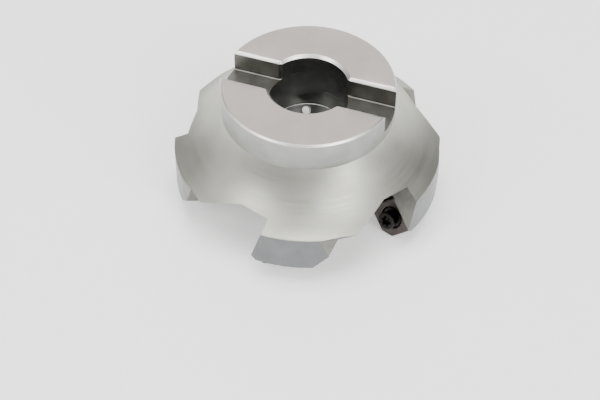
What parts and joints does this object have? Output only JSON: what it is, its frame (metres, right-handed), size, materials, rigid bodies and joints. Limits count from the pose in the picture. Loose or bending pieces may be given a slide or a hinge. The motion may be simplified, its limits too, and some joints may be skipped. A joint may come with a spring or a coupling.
{
  "type": "face mill",
  "caption": "Shell-mounted 45 degree face mill: a body with drive slot, stepped bore and chip gullets, whose pockets each hold a shim, a hollow shim screw and an insert screw.",
  "frame": {"origin": "on the spindle axis at the level of the lowest edges of the teeth", "axes": "+Z along the spindle axis towards the machine, +X along the drive slot"},
  "size_m": [0.0741, 0.0749, 0.04],
  "materials": {
    "plated_steel": "nickel-plated tool steel, satin",
    "carbide_shim": "ground cemented carbide, dark grey",
    "blackened_screw": "black-oxide steel"
  },
  "bodies": {
    "cutter_body": {"cutter_body": "plated_steel"},
    "shim_1": {"shim_1": "carbide_shim"},
    "shim_screw_1": {"shim_screw_1": "blackened_screw"},
    "insert_screw_1": {"insert_screw_1": "blackened_screw"},
    "shim_2": {"shim_2": "carbide_shim"},
    "shim_screw_2": {"shim_screw_2": "blackened_screw"},
    "insert_screw_2": {"insert_screw_2": "blackened_screw"},
    "shim_3": {"shim_3": "carbide_shim"},
    "shim_screw_3": {"shim_screw_3": "blackened_screw"},
    "insert_screw_3": {"insert_screw_3": "blackened_screw"},
    "shim_4": {"shim_4": "carbide_shim"},
    "shim_screw_4": {"shim_screw_4": "blackened_screw"},
    "insert_screw_4": {"insert_screw_4": "blackened_screw"},
    "shim_5": {"shim_5": "carbide_shim"},
    "shim_screw_5": {"shim_screw_5": "blackened_screw"},
    "insert_screw_5": {"insert_screw_5": "blackened_screw"}
  },
  "joints": [
    {"name": "shim_lift_1", "type": "slide", "parent": "cutter_body", "child": "shim_1", "axis": [-0.3161, -0.9026, 0.2924], "range_m": [0, 0.005]},
    {"name": "shim_screw_out_1", "type": "slide", "parent": "shim_1", "child": "shim_screw_1", "axis": [-0.3161, -0.9026, 0.2924], "range_m": [0, 0.005]},
    {"name": "insert_screw_out_1", "type": "slide", "parent": "shim_screw_1", "child": "insert_screw_1", "axis": [-0.3161, -0.9026, 0.2924], "range_m": [0, 0.006]},
    {"name": "shim_lift_2", "type": "slide", "parent": "cutter_body", "child": "shim_2", "axis": [0.7607, -0.5795, 0.2924], "range_m": [0, 0.005]},
    {"name": "shim_screw_out_2", "type": "slide", "parent": "shim_2", "child": "shim_screw_2", "axis": [0.7607, -0.5795, 0.2924], "range_m": [0, 0.005]},
    {"name": "insert_screw_out_2", "type": "slide", "parent": "shim_screw_2", "child": "insert_screw_2", "axis": [0.7607, -0.5795, 0.2924], "range_m": [0, 0.006]},
    {"name": "shim_lift_3", "type": "slide", "parent": "cutter_body", "child": "shim_3", "axis": [0.7862, 0.5444, 0.2924], "range_m": [0, 0.005]},
    {"name": "shim_screw_out_3", "type": "slide", "parent": "shim_3", "child": "shim_screw_3", "axis": [0.7862, 0.5444, 0.2924], "range_m": [0, 0.005]},
    {"name": "insert_screw_out_3", "type": "slide", "parent": "shim_screw_3", "child": "insert_screw_3", "axis": [0.7862, 0.5444, 0.2924], "range_m": [0, 0.006]},
    {"name": "shim_lift_4", "type": "slide", "parent": "cutter_body", "child": "shim_4", "axis": [-0.2748, 0.916, 0.2924], "range_m": [0, 0.005]},
    {"name": "shim_screw_out_4", "type": "slide", "parent": "shim_4", "child": "shim_screw_4", "axis": [-0.2748, 0.916, 0.2924], "range_m": [0, 0.005]},
    {"name": "insert_screw_out_4", "type": "slide", "parent": "shim_screw_4", "child": "insert_screw_4", "axis": [-0.2748, 0.916, 0.2924], "range_m": [0, 0.006]},
    {"name": "shim_lift_5", "type": "slide", "parent": "cutter_body", "child": "shim_5", "axis": [-0.9561, 0.0217, 0.2924], "range_m": [0, 0.005]},
    {"name": "shim_screw_out_5", "type": "slide", "parent": "shim_5", "child": "shim_screw_5", "axis": [-0.9561, 0.0217, 0.2924], "range_m": [0, 0.005]},
    {"name": "insert_screw_out_5", "type": "slide", "parent": "shim_screw_5", "child": "insert_screw_5", "axis": [-0.9561, 0.0217, 0.2924], "range_m": [0, 0.006]}
  ]
}
